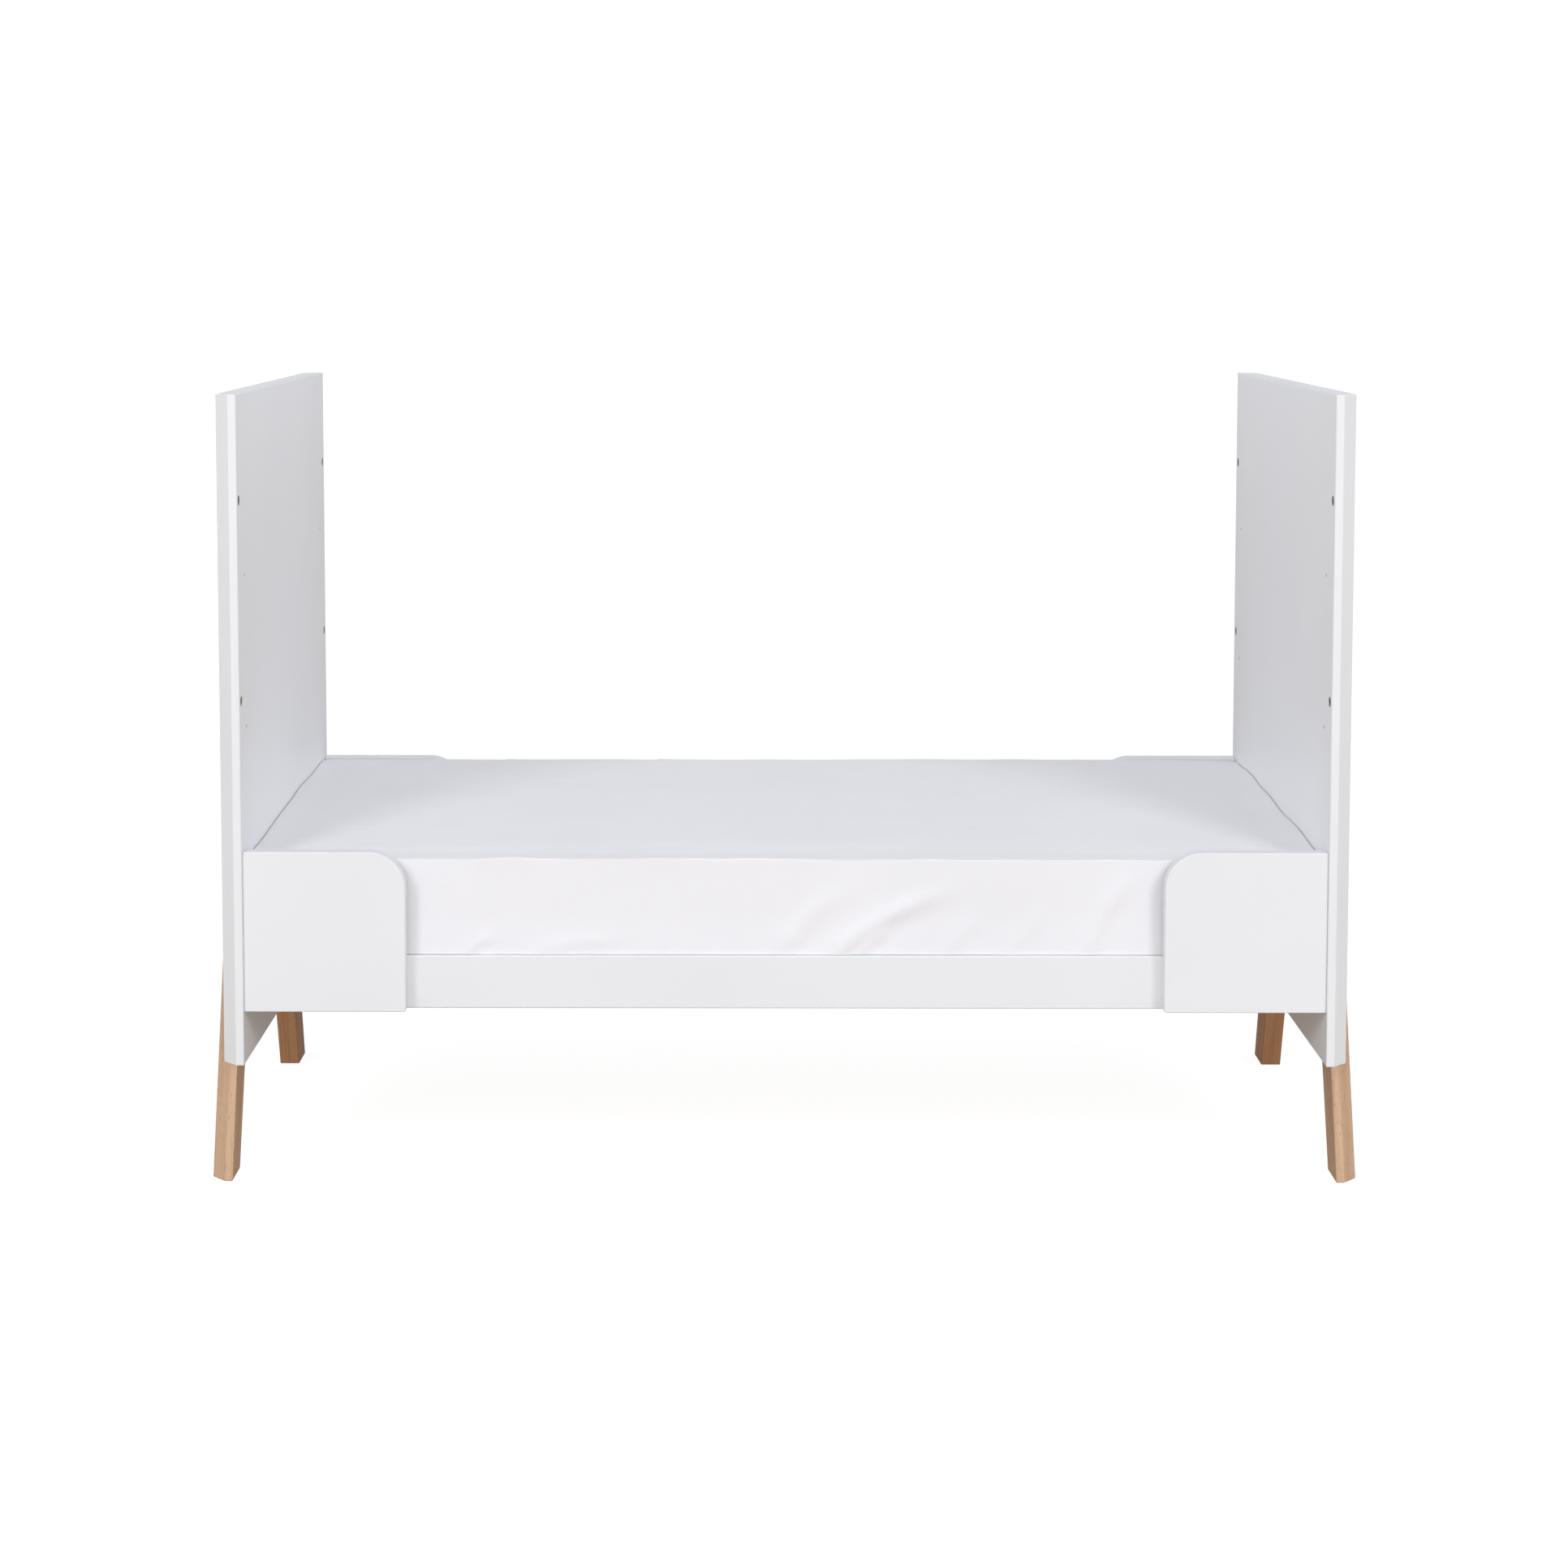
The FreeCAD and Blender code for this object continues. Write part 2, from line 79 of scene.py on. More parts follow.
FLOOR_BOUNCE = (0.11, 0.095, 0.08)

# Colours of the frame ----------------------------------------------------------------------------
LACQUER_LIGHT = (0.848, 0.852, 0.870)
LACQUER_DARK = (0.822, 0.826, 0.845)
BARE_BOARD = (0.240, 0.150, 0.090)
ZINC = (0.62, 0.62, 0.64)
BRASS = (0.72, 0.52, 0.24)

# Woods: light grain, dark grain and pores.
LEG_WOODS_REAR_PAINTED_SHADE = {
    "front": ((0.705, 0.485, 0.320), (0.575, 0.352, 0.204), (0.300, 0.165, 0.095)),
    # rear: the front legs' wood painted darker and redder, painted shade of the bed above them
    "rear": ((0.510, 0.270, 0.140), (0.416, 0.198, 0.090), (0.300, 0.165, 0.095)),
}
SLAT_WOOD = ((0.80, 0.63, 0.42), (0.70, 0.50, 0.30), (0.52, 0.34, 0.18))
LEDGE_WOOD = ((0.78, 0.60, 0.40), (0.66, 0.46, 0.27), (0.50, 0.32, 0.17))
LEG_LEAN = 19.6                 # degrees from upright, which the grain follows
OILED = (0.42, 0.56)            # range of roughness
PLANED = (0.50, 0.66)
BOARD_GRAIN = 0.6               # grain of the slats and ledges, coarser than the legs'

# Blind holes in the end panels.
HOLE_DEPTH = 0.014
HOLE_MARGIN = 0.0004
FACE_MARGIN = 0.0006

# Soft goods --------------------------------------------------------------------------------------
SHEET_LOW, SHEET_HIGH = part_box("fitted_sheet")
PAD_LOW, PAD_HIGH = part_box("mattress_cover")
GUARD_BACK = -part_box("front_left_guard")[1].y
PANEL_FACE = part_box("right_end_panel")[0].x
SHEET_STEP = 0.008
SHEET_THICKNESS = 0.0008
SHEET_TUCK = 0.090
SHEET_CLEARANCE = 0.0025        # from the pad's skin to the sheet's outside
PANEL_GAP = 0.0012
GUARD_GAP = 0.0006
SIDE_SWELL = 0.0045
END_SWELL = 0.3                 # swell of the ends, as a share of the sides'
CORNER_RADIUS = 0.016
TOP_EDGE = 0.0010
BOTTOM_EDGE = 0.0008
EDGE_CUTS = (0.0006, 0.0018)    # closer cuts beside each edge of the soft pieces
CROWN = 0.003
FRONT_DROP = 0.015              # how much lower the top is along its front edge
BACK_DROP = 0.003               # and along its back edge

# The pad inside the sheet.
PAD_STEP = 0.012
PAD_VOXEL = 0.009
PAD_SLACK = 0.003               # how much smaller than its CAD box the pad starts, at its sides and top
PAD_TRAVEL = 0.005              # the furthest that a point of it may swell
PAD_LIFT = 0.0016               # its underside above the CAD cover's
PAD_SOFTNESS = 0.004            # how much rounder its edges are than the sheet's
PAD_RECESS = 0.0015             # its sides inside the sheet's
QUILT_PITCH = 0.055
QUILT_DEPTH = 0.0016
QUILT_WIDTH = 0.0045
SIMULATED_FRAMES = 20
PAD_CLOTH = {
    "quality": 4,
    "mass": 0.3,
    "tension_stiffness": 12,
    "compression_stiffness": 12,
    "bending_stiffness": 0.8,
    "use_pressure": True,
    "uniform_pressure_force": 4.0,
}

# Relief of the sheet.
RIPPLE_HEIGHT = 0.0009
FINE_RIPPLE_HEIGHT = 0.0005
EDGE_HEIGHT = PAD_HIGH.z - 0.014    # of the top's front edge, and how far its unevenness reaches
EDGE_REACH = 0.012
LIP_HEIGHT = 0.0013             # the top's rise towards its front edge
WAVE_HEIGHT = 0.0022            # unevenness of the front edge, up and down
WAVE_DEPTH = 0.0009             # and in and out
END_RIPPLE = 0.0065             # unevenness of the top along the end panels
END_REACH = 0.0026
MARK_HEIGHT = 0.0010
MARK_RADIUS = 0.007
SLACK_DEPTH = 0.0007
GATHER_PITCH = 0.013
GATHER_HEIGHT = 0.0005
GATHER_SHIFT = 0.0025
SEED = 11

# Elastic hem.
HEM_WIDTH = 0.006
HEM_HEIGHT = 0.0022
HEM_LIFT = 0.0004
HEM_CORNER = 0.03
HEM_STEP = 0.002
HEM_SIDES = 10

# Folds in the front of the sheet: Bezier controls (along X, above the sheet's underside), height, width.
FRONT_FOLDS = [
    (((0.058, 0.0), (0.085, 0.035), (0.125, 0.050), (0.215, 0.086)), 0.0038, 0.0105),
    (((0.085, 0.0), (0.100, 0.020), (0.122, 0.032)), 0.0022, 0.0070),
    (((0.182, 0.0), (0.195, 0.025), (0.222, 0.050)), 0.0016, 0.0090),
    (((0.342, 0.0), (0.350, 0.045), (0.365, 0.065), (0.398, 0.098)), 0.0020, 0.0100),
    (((0.000, 0.010), (0.025, 0.045), (0.075, 0.085)), 0.0022, 0.0120),
    (((-0.358, 0.0), (-0.345, 0.014), (-0.322, 0.028)), 0.0024, 0.0060),
    (((-0.285, 0.0), (-0.235, 0.022), (-0.165, 0.014)), 0.0015, 0.0090),
    (((-0.140, 0.0), (-0.132, 0.050), (-0.136, 0.095)), 0.0009, 0.0080),
    (((-0.050, 0.0), (-0.048, 0.050), (-0.055, 0.090)), 0.0009, 0.0085),
    (((0.255, 0.0), (0.268, 0.030), (0.300, 0.062)), 0.0012, 0.0090),
]

# Folds in the sheet's other sides: axis, direction, half of their spread, how many, and the tallest.
SEEDED_FOLDS = [
    (1, 1, 0.55, 9, 0.0024),
    (0, 1, 0.24, 4, 0.0012),
    (0, -1, 0.24, 4, 0.0012),
]

# Small pulled marks on top of the sheet, (X, Y).
PULLED_MARKS = [(0.50, 0.06), (0.36, -0.10), (0.55, -0.13), (-0.36, -0.10), (-0.08, 0.0), (-0.41, -0.24)]


# Meshes ------------------------------------------------------------------------------------------
def new_object(name, mesh):
    """Object for a mesh, in the scene, with smooth faces."""
    piece = bpy.data.objects.new(name, mesh)
    bpy.context.scene.collection.objects.link(piece)
    for face in mesh.polygons:
        face.use_smooth = True
    return piece


def mesh_from(name, points, faces):
    """Mesh from an array of points and a list of faces."""
    mesh = bpy.data.meshes.new(name)
    mesh.from_pydata([tuple(p) for p in points], [], [tuple(f) for f in faces])
    mesh.validate()
    mesh.update()
    return mesh


def points_of(piece):
    """Array of a mesh's points."""
    flat = np.zeros(len(piece.data.vertices) * 3)
    piece.data.vertices.foreach_get("co", flat)
    return flat.reshape(-1, 3)


def normals_of(piece):
    """Array of a mesh's vertex normals."""
    flat = np.zeros(len(piece.data.vertices) * 3)
    piece.data.vertices.foreach_get("normal", flat)
    return flat.reshape(-1, 3)


def move_points(piece, points):
    """Puts a mesh's points in new places."""
    piece.data.vertices.foreach_set("co", points.reshape(-1))
    piece.data.update()


def apply_modifiers(piece):
    """Makes the modifiers' result the piece's own mesh."""
    seen = piece.evaluated_get(bpy.context.evaluated_depsgraph_get())
    mesh = bpy.data.meshes.new_from_object(seen)
    piece.modifiers.clear()
    piece.data = mesh
    for face in mesh.polygons:
        face.use_smooth = True


def refine(piece):
    """Cuts each face of a piece into four, and rounds it."""
    piece.modifiers.new("finer", "SUBSURF").levels = 1
    apply_modifiers(piece)


def finish_soft(piece, material):
    """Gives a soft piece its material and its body."""
    piece.data.materials.clear()
    piece.data.materials.append(material)
    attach(piece, "mattress")


def smooth_step(low, high, value):
    """0 below low, 1 above high, and smooth between."""
    t = np.clip((value - low) / (high - low), 0, 1)
    return t * t * (3 - 2 * t)


def soft_noise(points, scale, seed):
    """Smooth noise from -1 to 1 at each point, with a scale for each axis."""
    shift = Vector((seed * 17.3, seed * 5.7, seed * 9.1))
    return np.array([noise.noise(Vector(p) + shift) for p in points * scale])


# Material nodes ----------------------------------------------------------------------------------
def new_material(name):
    """Material with an empty node tree, its Principled shader, and object coordinates."""
    material = bpy.data.materials.new(name)
    material.use_nodes = True
    tree = material.node_tree
    tree.nodes.clear()
    output = tree.nodes.new("ShaderNodeOutputMaterial")
    shader = tree.nodes.new("ShaderNodeBsdfPrincipled")
    tree.links.new(shader.outputs["BSDF"], output.inputs["Surface"])
    place = tree.nodes.new("ShaderNodeTexCoord").outputs["Object"]
    return material, tree, shader, place


def put(tree, value, socket):
    """Links a value to a socket, or sets the socket to it."""
    if isinstance(value, bpy.types.NodeSocket):
        tree.links.new(value, socket)
    else:
        socket.default_value = value


def add(tree, kind, values=None, **settings):
    """Node of a kind, with its settings, and its inputs set or linked."""
    made = tree.nodes.new("ShaderNode" + kind)
    for key, value in settings.items():
        setattr(made, key, value)
    for key, value in (values or {}).items():
        put(tree, value, made.inputs[key])
    return made


def stretched(tree, place, scale, turn=(0, 0, 0), shift=(0, 0, 0)):
    """Coordinates turned (degrees), then scaled along each axis."""
    angle = [math.radians(a) for a in turn]
    turned = add(tree, "Mapping", {"Vector": place, "Rotation": angle, "Location": shift})
    return add(tree, "Mapping", {"Vector": turned.outputs[0], "Scale": scale}).outputs[0]


def noise_node(tree, place, scale=1.0, detail=2.0, roughness=0.5, distortion=0.0):
    """Noise value at a place."""
    values = {"Vector": place, "Scale": scale, "Detail": detail, "Roughness": roughness}
    values["Distortion"] = distortion
    return add(tree, "TexNoise", values).outputs["Fac"]


def mixed(tree, factor, first, second, kind="MIX"):
    """Blend of two colours."""
    values = {}
    for key, value in (("Fac", factor), ("Color1", first), ("Color2", second)):
        if isinstance(value, tuple):
            value = (*value, 1.0)
        values[key] = value
    return add(tree, "MixRGB", values, blend_type=kind).outputs["Color"]


def between(tree, value, low, high, from_low=0.0, from_high=1.0):
    """Value mapped to a range."""
    values = {"Value": value, "From Min": from_low, "From Max": from_high, "To Min": low, "To Max": high}
    return add(tree, "MapRange", values).outputs["Result"]


def calculate(tree, kind, first, second=0.0):
    """Arithmetic on one or two values."""
    return add(tree, "Math", {0: first, 1: second}, operation=kind).outputs[0]


def bump(tree, height, distance, strength=1.0, below=None):
    """Surface relief from a height, on top of another relief if one is given."""
    values = {"Height": height, "Distance": distance, "Strength": strength}
    if below is not None:
        values["Normal"] = below
    return add(tree, "Bump", values).outputs["Normal"]


def choose_by_path(tree, for_others, for_camera):
    """One shader for the camera's rays, and another for all others."""
    path = tree.nodes.new("ShaderNodeLightPath")
    shaders = {0: path.outputs["Is Camera Ray"], 1: for_others, 2: for_camera}
    return add(tree, "MixShader", shaders).outputs[0]


# Materials ---------------------------------------------------------------------------------------
def drilled(tree, place):
    """1 inside the blind holes of the end panels, where bare brown board shows, and 0 elsewhere."""
    axes = add(tree, "SeparateXYZ", {"Vector": place})
    across = calculate(tree, "ABSOLUTE", axes.outputs["Y"])
    along = calculate(tree, "ABSOLUTE", axes.outputs["X"])
    total = None
    for mount in frame["record"]["mounts"]:
        x, y, middle = mount["pos_m"]
        if mount["kind"] != "bolt_pattern" or x < 0 or y > 0:
            continue
        dims = mount["dims"]
        reach = dims["hole_r_mm"] / 1000 + HOLE_MARGIN
        half_rise = dims["spacing_y_mm"] / 2000
        side = abs(y) or dims["spacing_x_mm"] / 2000
        for height in (middle - half_rise, middle + half_rise):
            dy = calculate(tree, "SUBTRACT", across, side)
            dz = calculate(tree, "SUBTRACT", axes.outputs["Z"], height)
            dy_squared = calculate(tree, "MULTIPLY", dy, dy)
            dz_squared = calculate(tree, "MULTIPLY", dz, dz)
            distance_squared = calculate(tree, "ADD", dy_squared, dz_squared)
            inside = calculate(tree, "LESS_THAN", distance_squared, reach * reach)
            total = inside if total is None else calculate(tree, "MAXIMUM", total, inside)
    past_face = calculate(tree, "GREATER_THAN", along, PANEL_FACE + FACE_MARGIN)
    before_back = calculate(tree, "LESS_THAN", along, PANEL_FACE + HOLE_DEPTH + HOLE_MARGIN)
    return calculate(tree, "MULTIPLY", total, calculate(tree, "MULTIPLY", past_face, before_back))


def lacquer(name, holes):
    """Satin white sprayed lacquer: a faint orange peel, and slight changes of tone and gloss."""
    material, tree, shader, place = new_material(name)
    tone = noise_node(tree, place, 2.6, 3.0)
    colour = mixed(tree, between(tree, tone, 0, 1, 0.35, 0.65), LACQUER_DARK, LACQUER_LIGHT)
    if holes:
        colour = mixed(tree, drilled(tree, place), colour, BARE_BOARD)
    put(tree, colour, shader.inputs["Base Color"])
    gloss = noise_node(tree, place, 22.0, 3.0)
    put(tree, between(tree, gloss, 0.40, 0.52), shader.inputs["Roughness"])
    broad = bump(tree, noise_node(tree, place, 90.0, 1.0), 0.00002)
    peel = bump(tree, noise_node(tree, place, 650.0, 2.0), 0.00002, 0.6, broad)
    put(tree, peel, shader.inputs["Normal"])
    shader.inputs["Specular IOR Level"].default_value = 0.45
    return material


def wood(name, tones, turn, shift, grain=1.0, rough=OILED):
    """Straight-grained wood. The grain runs along Z before the turn (degrees about each axis)."""
    light, dark, pore = tones
    material, tree, shader, place = new_material(name)

    def grained(scale, *settings):
        return noise_node(tree, stretched(tree, place, scale, turn, shift), 1.0, *settings)

    bands = grained((70 * grain, 70 * grain, 1.6), 3.0, 0.55, 0.6)
    figure = grained((14, 14, 0.9), 2.0)
    fibres = grained((520, 520, 9), 2.0)
    pores = grained((1250, 1250, 120), 1.0)
    colour = mixed(tree, between(tree, bands, 0, 1, 0.32, 0.68), light, dark)
    colour = mixed(tree, between(tree, figure, 0.0, 0.35, 0.35, 0.7), colour, dark)
    colour = mixed(tree, between(tree, fibres, 0.0, 0.28, 0.45, 0.75), colour, dark, "MULTIPLY")
    streaks = between(tree, pores, 0, 0.75, 0.62, 0.74)
    put(tree, mixed(tree, streaks, colour, pore), shader.inputs["Base Color"])
    put(tree, between(tree, fibres, rough[0], rough[1]), shader.inputs["Roughness"])
    relief = bump(tree, calculate(tree, "MULTIPLY", streaks, -1.0), 0.00012)
    put(tree, bump(tree, fibres, 0.00005, 0.7, relief), shader.inputs["Normal"])
    return material


def metal(name, colour, rough):
    """Plated metal with fine turning marks."""
    material, tree, shader, place = new_material(name)
    cloud = noise_node(tree, place, 240.0, 3.0)
    darker = tuple(c * 0.82 for c in colour)
    put(tree, mixed(tree, cloud, darker, colour), shader.inputs["Base Color"])
    put(tree, between(tree, cloud, rough - 0.08, rough + 0.1), shader.inputs["Roughness"])
    marks = noise_node(tree, place, 2600.0, 1.0)
    put(tree, bump(tree, marks, 0.00002), shader.inputs["Normal"])
    shader.inputs["Metallic"].default_value = 1.0
    return material


def woven(name, light, dark, pitch, relief):
    """Plain-weave cloth: over-and-under threads, thicker threads here and there, and a soft sheen."""
    material, tree, shader, place = new_material(name)
    axes = add(tree, "SeparateXYZ", {"Vector": place})
    turns = 2 * math.pi / pitch
    upright = calculate(tree, "ADD", axes.outputs["Y"], axes.outputs["Z"])
    warp = calculate(tree, "SINE", calculate(tree, "MULTIPLY", axes.outputs["X"], turns))
    weft = calculate(tree, "SINE", calculate(tree, "MULTIPLY", upright, turns))
    weave = between(tree, calculate(tree, "MULTIPLY", warp, weft), 0, 1, -1, 1)
    slubs = noise_node(tree, stretched(tree, place, (9, 420, 420)), 1.0, 2.0)
    cross = noise_node(tree, stretched(tree, place, (420, 12, 12)), 1.0, 2.0)
    slubs = calculate(tree, "MULTIPLY", slubs, 0.6)
    cross = calculate(tree, "MULTIPLY", cross, 0.4)
    threads = calculate(tree, "ADD", slubs, cross)
    cloud = noise_node(tree, place, 5.0, 3.0)
    gap = tuple(c * 0.8 for c in dark)
    colour = mixed(tree, between(tree, cloud, 0, 1, 0.3, 0.7), dark, light)
    colour = mixed(tree, between(tree, threads, 0, 0.4, 0.35, 0.65), colour, dark)
    colour = mixed(tree, between(tree, weave, 0.0, 0.12), colour, gap, "MULTIPLY")
    put(tree, colour, shader.inputs["Base Color"])
    put(tree, between(tree, threads, 0.82, 0.95), shader.inputs["Roughness"])
    crumple = bump(tree, noise_node(tree, place, 60.0, 4.0, 0.6), 0.0004, 0.5)
    cloth = bump(tree, threads, relief * 0.7, 0.6, crumple)
    put(tree, bump(tree, weave, relief, 0.6, cloth), shader.inputs["Normal"])
    shader.inputs["Sheen Weight"].default_value = 0.25
    shader.inputs["Sheen Roughness"].default_value = 0.5
    shader.inputs["Specular IOR Level"].default_value = 0.25
    return material


def leg_wood(name):
    """Wood of one leg, its grain along the leg and unlike the other legs'. The rear legs get a darker,
    redder tone of the same wood: painted shade.
    """
    end = name.split("_")[0]
    side = -1 if "left" in name else 1
    turn = LEG_LEAN if end == "front" else -LEG_LEAN
    shift = (0.37 * side, 0.11 * turn, 0.05 * side)
    return wood(name + "_wood", LEG_WOODS_REAR_PAINTED_SHADE[end], (turn, 0, 0), shift)


def slat_wood(name):
    """Wood of one slat, its grain along Y and unlike the other slats'."""
    number = int(name[-2:])
    shift = (0.31 * number, 0.07, 0.17 * number)
    return wood(name + "_wood", SLAT_WOOD, (90, 0, 0), shift, BOARD_GRAIN, PLANED)


def ledge_wood(name):
    """Wood of one slat ledge, its grain along X."""
    return wood(name + "_wood", LEDGE_WOOD, (0, 90, 0), (0.2, 0.3, 0.7), BOARD_GRAIN, PLANED)


def paint_frame():
    """Gives every CAD part of the frame its material."""
    panel_white = lacquer("panel_lacquer", True)
    board_white = lacquer("board_lacquer", False)
    zinc = metal("zinc_plate", ZINC, 0.34)
    brass = metal("brass_insert", BRASS, 0.3)
    for name, part in frame["nodes"].items():
        if name.endswith("_inserts"):
            paint = brass
        elif name.endswith(("_bolts", "_screws", "_connectors")):
            paint = zinc
        elif name.endswith("_leg"):
            paint = leg_wood(name)
        elif name.startswith("slat_"):
            paint = slat_wood(name)
        elif name.endswith("_ledge"):
            paint = ledge_wood(name)
        elif name.endswith("_panel"):
            paint = panel_white
        elif name.endswith(("_rail", "_guard")):
            paint = board_white
        else:
            continue
        for slot in part.material_slots:
            slot.material = paint


# Studio ------------------------------------------------------------------------------------------
def make_camera():
    """Camera in front of the bed and a little above it, looking slightly down."""
    data = bpy.data.cameras.new("camera")
    data.lens = CAMERA_LENS
    data.sensor_width = CAMERA_SENSOR
    data.shift_x, data.shift_y = CAMERA_SHIFT
    camera = bpy.data.objects.new("camera", data)
    camera.location = CAMERA_PLACE
    camera.rotation_euler = Euler((math.radians(90 - CAMERA_PITCH), 0, math.radians(CAMERA_TURN)))
    bpy.context.scene.collection.objects.link(camera)
    bpy.context.scene.camera = camera


def floor_material():
    """Studio floor: white from above, clear from below, and dim and warm in the light that it gives back."""
    material, tree, shader, place = new_material("studio_floor")
    tone = noise_node(tree, place, 1.5, 2.0)
    lighter = tuple(c * 1.05 for c in FLOOR_TINT)
    put(tree, mixed(tree, tone, FLOOR_TINT, lighter), shader.inputs["Base Color"])
    shader.inputs["Roughness"].default_value = 0.9
    shader.inputs["Specular IOR Level"].default_value = 0.0
    shader.inputs["Emission Color"].default_value = (*FLOOR_BOUNCE, 1)
    shader.inputs["Emission Strength"].default_value = 1.0
    white = add(tree, "Emission", {"Color": (1, 1, 1, 1), "Strength": FLOOR_GLOW})
    shade = add(tree, "BsdfDiffuse", {"Color": (FLOOR_SHADE, FLOOR_SHADE, FLOOR_SHADE, 1)})
    seen = add(tree, "AddShader", {0: white.outputs[0], 1: shade.outputs[0]})
    above = choose_by_path(tree, shader.outputs[0], seen.outputs[0])
    below = tree.nodes.new("ShaderNodeNewGeometry").outputs["Backfacing"]
    clear = tree.nodes.new("ShaderNodeBsdfTransparent").outputs[0]
    sided = add(tree, "MixShader", {0: below, 1: above, 2: clear})
    output = next(node for node in tree.nodes if node.type == "OUTPUT_MATERIAL")
    put(tree, sided.outputs[0], output.inputs["Surface"])
    return material


def make_floor():
    """Wide level floor just under the feet."""
    half = FLOOR_SIZE / 2
    outline = ((-half, -half), (half, -half), (half, half), (-half, half))
    corners = [(x, y, FLOOR_LEVEL) for x, y in outline]
    floor = new_object("floor", mesh_from("floor", corners, [(0, 1, 2, 3)]))
    floor.data.materials.append(floor_material())


def make_surroundings():
    """White backdrop, and soft light from all round: most from the horizon in front, least from above."""
    world = bpy.data.worlds.new("studio")
    bpy.context.scene.world = world
    world.use_nodes = True
    tree = world.node_tree
    tree.nodes.clear()
    output = tree.nodes.new("ShaderNodeOutputWorld")
    seen = add(tree, "Background", {"Color": (1, 1, 1, 1), "Strength": BACKDROP_STRENGTH})
    place = tree.nodes.new("ShaderNodeTexCoord").outputs["Generated"]
    toward = add(tree, "SeparateXYZ", {"Vector": place})
    height = between(tree, toward.outputs["Z"], AMBIENT_LOW, AMBIENT_HIGH, 0.0, 1.0)
    low = between(tree, toward.outputs["Z"], 1.0, 0.0, 0.0, FILL_TOP)
    front = between(tree, toward.outputs["Y"], FRONT_FILL, 0.0, -1.0, 0.0)
    rear = between(tree, toward.outputs["Y"], 0.0, REAR_FILL, 0.0, 1.0)
    fill = calculate(tree, "MULTIPLY", low, calculate(tree, "ADD", front, rear))
    strength = calculate(tree, "ADD", height, fill)
    lit = add(tree, "Background", {"Color": (*AMBIENT_COLOUR, 1), "Strength": strength})
    choice = choose_by_path(tree, lit.outputs[0], seen.outputs[0])
    put(tree, choice, output.inputs["Surface"])


def make_softbox(side):
    """Square soft light to one side of the front, aimed at the bed."""
    data = bpy.data.lights.new("softbox", "AREA")
    data.shape = "SQUARE"
    data.size = SOFTBOX_SIZE
    data.energy = SOFTBOX_POWER
    lamp = bpy.data.objects.new("softbox", data)
    turn = math.radians(SOFTBOX_TURN) * side
    height = math.radians(SOFTBOX_HEIGHT)
    level = math.cos(height)
    away = Vector((math.sin(turn) * level, -math.cos(turn) * level, math.sin(height)))
    lamp.location = Vector(SOFTBOX_TARGET) + away * SOFTBOX_DISTANCE
    lamp.rotation_euler = away.to_track_quat("Z", "Y").to_euler()
    bpy.context.scene.collection.objects.link(lamp)


# Soft shapes -------------------------------------------------------------------------------------
def cut_lines(low, high, step):
    """Places of the cuts along one side of a box: even, with a closer pair at each end for a crisp edge."""
    first = [low, low + EDGE_CUTS[0]]
    last = [high - EDGE_CUTS[0], high]
    inner = np.linspace(low + EDGE_CUTS[1], high - EDGE_CUTS[1], max(3, round((high - low) / step)))
    return [*first, *inner, *last]


def shell_lattice(low, high, step, opening=None):
    """Points and faces of a box's surface cut into squares; an opening leaves a hole in its underside."""
    cuts = [cut_lines(low[a], high[a], step) for a in range(3)]
    counts = [len(lines) - 1 for lines in cuts]
    index = {}
    points = []
    faces = []

    def corner(key):
        if key not in index:
            index[key] = len(points)
            points.append([cuts[a][key[a]] for a in range(3)])
        return index[key]

    def open_at(i, j):
        x = (cuts[0][i] + cuts[0][i + 1]) / 2
        y = (cuts[1][j] + cuts[1][j + 1]) / 2
        return abs(x) < -opening[0] and abs(y) < -opening[1]

    for axis in range(3):
        u = (axis + 1) % 3
        v = (axis + 2) % 3
        for end in (0, counts[axis]):
            for i in range(counts[u]):
                for j in range(counts[v]):
                    if opening and axis == 2 and end == 0 and open_at(i, j):
                        continue
                    keys = []
                    for a, b in ((i, j), (i + 1, j), (i + 1, j + 1), (i, j + 1)):
                        key = [0, 0, 0]
                        key[axis] = end
                        key[u] = a
                        key[v] = b
                        keys.append(tuple(key))
                    if end == 0:
                        keys.reverse()
                    faces.append([corner(k) for k in keys])
    return np.array(points), faces


def rounded_box(points, low, high, softness=0.0):
    """Rounds a box's surface: small edges round its top and bottom, and larger upright corners."""
    low = np.array(low)
    high = np.array(high)
    upper = points[:, 2] > (low[2] + high[2]) / 2
    radius = np.where(upper, TOP_EDGE + softness, BOTTOM_EDGE + softness)[:, None]
    core = np.clip(points, low + radius, high - radius)
    away = points - core
    length = np.linalg.norm(away, axis=1, keepdims=True)
    out = core + away / np.maximum(length, 1e-9) * radius
    inset = (high - low)[:2] / 2 - CORNER_RADIUS
    centre = (high + low)[:2] / 2
    flat = out[:, :2] - centre
    excess = np.clip((np.abs(flat) - inset) / CORNER_RADIUS, 0, 1)
    both = (excess[:, 0] > 0) & (excess[:, 1] > 0)
    bent = excess * np.sqrt(1 - excess[:, ::-1] ** 2 / 2)
    rounded = np.sign(flat) * (inset + bent * CORNER_RADIUS)
    out[both, :2] = rounded[both] + centre
    return out


def bulge(rise):
    """How far a side stands out, as a share of its swell: a little less near its top and bottom edges."""
    return (0.92 + 0.08 * smooth_step(0.0, 0.3, rise)) * (1 - 0.2 * smooth_step(0.85, 1.0, rise))


